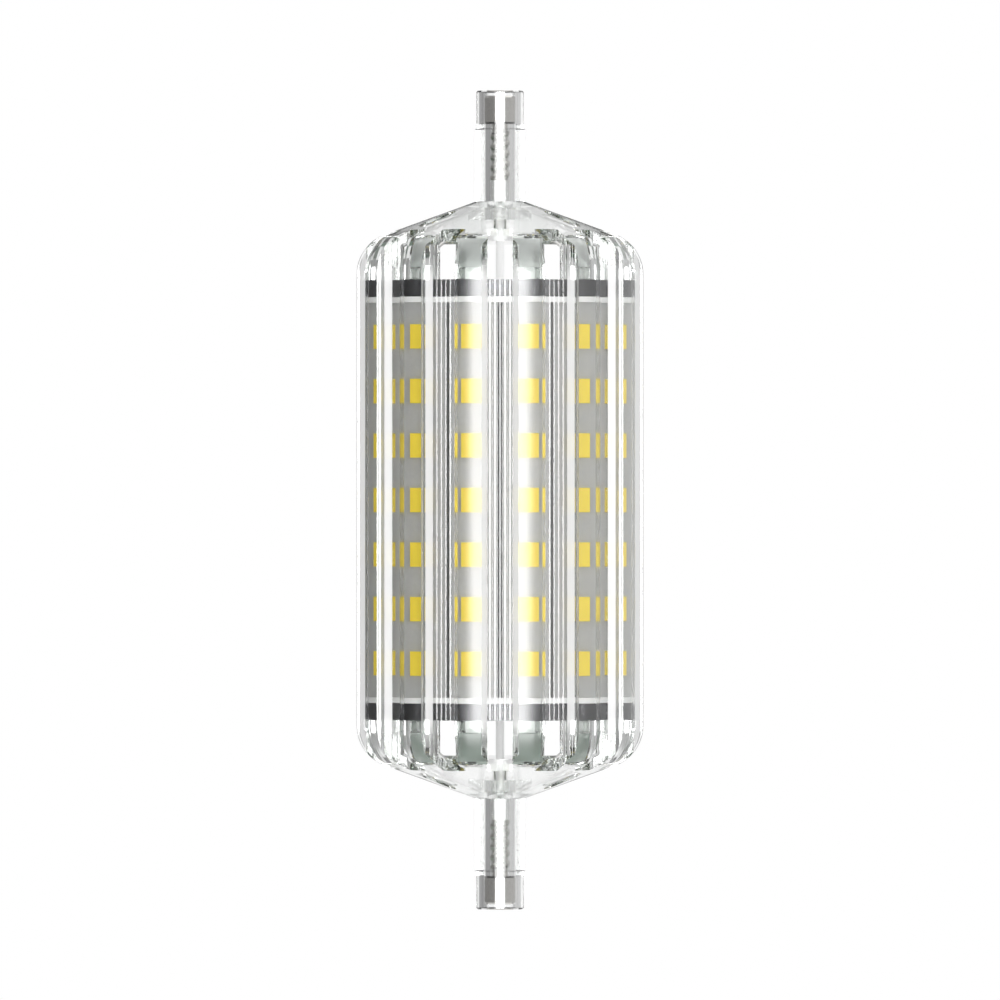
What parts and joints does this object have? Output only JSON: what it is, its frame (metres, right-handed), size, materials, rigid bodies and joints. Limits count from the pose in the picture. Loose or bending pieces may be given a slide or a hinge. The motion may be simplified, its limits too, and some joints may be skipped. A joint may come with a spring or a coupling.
{
  "type": "linear led bulb",
  "caption": "Double-ended linear LED lamp: clear channelled tubular body over rows of LEDs, conical clear ends and a recessed contact at each tip, held between two lamp holders.",
  "frame": {"origin": "middle of the lamp, on its axis", "axes": "+Z along the lamp's axis to one contact (the two ends are alike); -Y faces a channel of the body"},
  "size_m": [0.0412, 0.041, 0.118],
  "materials": {
    "clear_polycarbonate": "clear, moulded",
    "contact_metal": "nickel plated, turned",
    "ring_plastic": "dark grey, moulded",
    "white_insulation": "white, satin",
    "core_aluminium": "extruded",
    "led_board_mask": "satin grey",
    "led_phosphor": "yellow, satin",
    "driver_laminate": "green lacquer",
    "capacitor_sleeve": "shrink sleeve",
    "ferrite": "sintered",
    "black_epoxy": "moulded",
    "fuse_lacquer": "lacquered"
  },
  "bodies": {
    "root": {"choke": "ferrite", "core_tube": "core_aluminium", "driver_board": "driver_laminate", "driver_chip": "black_epoxy", "fuse_resistor": "fuse_lacquer", "led_board_01": "led_board_mask", "led_board_02": "led_board_mask", "led_board_03": "led_board_mask", "led_board_04": "led_board_mask", "led_board_05": "led_board_mask", "led_board_06": "led_board_mask", "led_board_07": "led_board_mask", "led_board_08": "led_board_mask", "led_board_09": "led_board_mask", "led_board_10": "led_board_mask", "led_board_11": "led_board_mask", "led_board_12": "led_board_mask", "led_board_13": "led_board_mask", "led_board_14": "led_board_mask", "led_row_01": "led_phosphor", "led_row_02": "led_phosphor", "led_row_03": "led_phosphor", "led_row_04": "led_phosphor", "led_row_05": "led_phosphor", "led_row_06": "led_phosphor", "led_row_07": "led_phosphor", "led_row_08": "led_phosphor", "led_row_09": "led_phosphor", "led_row_10": "led_phosphor", "led_row_11": "led_phosphor", "led_row_12": "led_phosphor", "led_row_13": "led_phosphor", "led_row_14": "led_phosphor", "lower_contact_screw": "contact_metal", "lower_end_cap": "clear_polycarbonate", "lower_end_ring": "ring_plastic", "lower_insulating_washer": "white_insulation", "lower_lead_wire": "white_insulation", "lower_tip_collar": "clear_polycarbonate", "optical_body": "clear_polycarbonate", "rectifier": "black_epoxy", "smoothing_capacitor": "capacitor_sleeve", "upper_contact_screw": "contact_metal", "upper_end_cap": "clear_polycarbonate", "upper_end_ring": "ring_plastic", "upper_insulating_washer": "white_insulation", "upper_lead_wire": "white_insulation", "upper_tip_collar": "clear_polycarbonate"}
  },
  "joints": []
}
